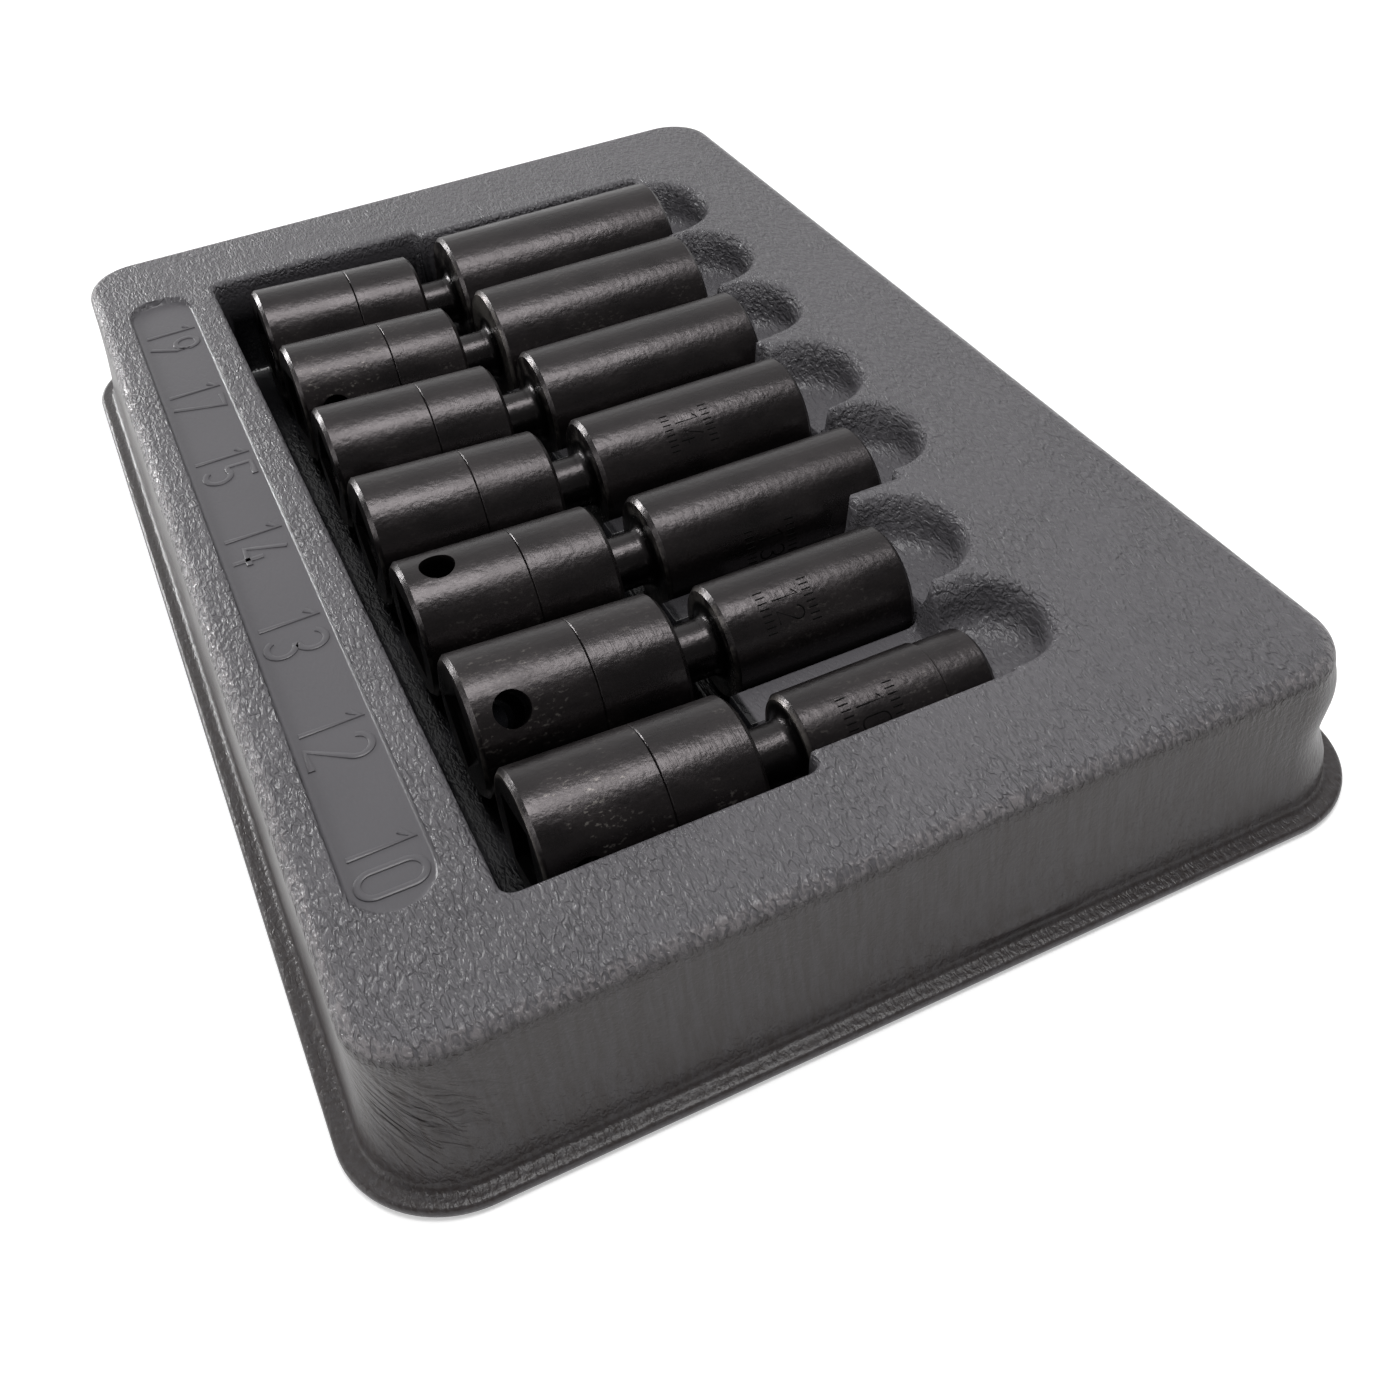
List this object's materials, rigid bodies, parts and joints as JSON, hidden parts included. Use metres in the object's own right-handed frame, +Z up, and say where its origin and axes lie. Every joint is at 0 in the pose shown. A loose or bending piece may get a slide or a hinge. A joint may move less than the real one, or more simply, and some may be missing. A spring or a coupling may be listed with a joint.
{
  "type": "socket organizer drawer box",
  "caption": "Thin formed plastic tray on a turned-out rim, holding swivelling deep impact sockets in a row of slots with finger scoops and a size strip.",
  "frame": {"origin": "middle of the tray's flat underside, on the surface it stands on", "axes": "+X from the size strip to the finger scoops, along the sockets; +Y from the smallest socket to the largest; +Z up"},
  "size_m": [0.1544, 0.2324, 0.0296],
  "materials": {
    "tray_plastic": "fine leather grain, satin",
    "drive_steel": "black phosphate, satin, edges worn bright",
    "sleeve_steel": "black phosphate with turning marks",
    "pin_steel": "dark ground steel",
    "socket_steel": "black phosphate, satin, edges worn bright"
  },
  "bodies": {
    "tray": {"tray": "tray_plastic", "tray_bay_10": "tray_plastic", "tray_bay_12": "tray_plastic", "tray_bay_13": "tray_plastic", "tray_bay_14": "tray_plastic", "tray_bay_15": "tray_plastic", "tray_bay_17": "tray_plastic", "tray_bay_19": "tray_plastic"},
    "drive_10": {"drive_end_10": "drive_steel", "joint_sleeve_10": "sleeve_steel", "cross_pin_10": "pin_steel"},
    "socket_10": {"socket_end_10": "socket_steel"},
    "drive_12": {"drive_end_12": "drive_steel", "joint_sleeve_12": "sleeve_steel", "cross_pin_12": "pin_steel"},
    "socket_12": {"socket_end_12": "socket_steel"},
    "drive_13": {"drive_end_13": "drive_steel", "joint_sleeve_13": "sleeve_steel", "cross_pin_13": "pin_steel"},
    "socket_13": {"socket_end_13": "socket_steel"},
    "drive_14": {"drive_end_14": "drive_steel", "joint_sleeve_14": "sleeve_steel", "cross_pin_14": "pin_steel"},
    "socket_14": {"socket_end_14": "socket_steel"},
    "drive_15": {"drive_end_15": "drive_steel", "joint_sleeve_15": "sleeve_steel", "cross_pin_15": "pin_steel"},
    "socket_15": {"socket_end_15": "socket_steel"},
    "drive_17": {"drive_end_17": "drive_steel", "joint_sleeve_17": "sleeve_steel", "cross_pin_17": "pin_steel"},
    "socket_17": {"socket_end_17": "socket_steel"},
    "drive_19": {"drive_end_19": "drive_steel", "joint_sleeve_19": "sleeve_steel", "cross_pin_19": "pin_steel"},
    "socket_19": {"socket_end_19": "socket_steel"}
  },
  "joints": [
    {"name": "lift_10", "type": "slide", "parent": "tray", "child": "drive_10", "axis": [0, 0, 1], "range_m": [0, 0.06]},
    {"name": "swivel_10", "type": "hinge", "parent": "drive_10", "child": "socket_10", "pos_m": [-0.0145, -0.08, 0.017], "axis": [0, -1, 0], "range_deg": [0, 30]},
    {"name": "lift_12", "type": "slide", "parent": "tray", "child": "drive_12", "axis": [0, 0, 1], "range_m": [0, 0.06]},
    {"name": "swivel_12", "type": "hinge", "parent": "drive_12", "child": "socket_12", "pos_m": [-0.0145, -0.0546, 0.017], "axis": [0, -1, 0], "range_deg": [0, 30]},
    {"name": "lift_13", "type": "slide", "parent": "tray", "child": "drive_13", "axis": [0, 0, 1], "range_m": [0, 0.06]},
    {"name": "swivel_13", "type": "hinge", "parent": "drive_13", "child": "socket_13", "pos_m": [-0.0145, -0.0292, 0.017], "axis": [0, -1, 0], "range_deg": [0, 30]},
    {"name": "lift_14", "type": "slide", "parent": "tray", "child": "drive_14", "axis": [0, 0, 1], "range_m": [0, 0.06]},
    {"name": "swivel_14", "type": "hinge", "parent": "drive_14", "child": "socket_14", "pos_m": [-0.0145, -0.0038, 0.017], "axis": [0, -1, 0], "range_deg": [0, 30]},
    {"name": "lift_15", "type": "slide", "parent": "tray", "child": "drive_15", "axis": [0, 0, 1], "range_m": [0, 0.06]},
    {"name": "swivel_15", "type": "hinge", "parent": "drive_15", "child": "socket_15", "pos_m": [-0.0145, 0.0216, 0.017], "axis": [0, -1, 0], "range_deg": [0, 30]},
    {"name": "lift_17", "type": "slide", "parent": "tray", "child": "drive_17", "axis": [0, 0, 1], "range_m": [0, 0.06]},
    {"name": "swivel_17", "type": "hinge", "parent": "drive_17", "child": "socket_17", "pos_m": [-0.0145, 0.047, 0.017], "axis": [0, -1, 0], "range_deg": [0, 30]},
    {"name": "lift_19", "type": "slide", "parent": "tray", "child": "drive_19", "axis": [0, 0, 1], "range_m": [0, 0.06]},
    {"name": "swivel_19", "type": "hinge", "parent": "drive_19", "child": "socket_19", "pos_m": [-0.0145, 0.0724, 0.017], "axis": [0, -1, 0], "range_deg": [0, 30]}
  ]
}
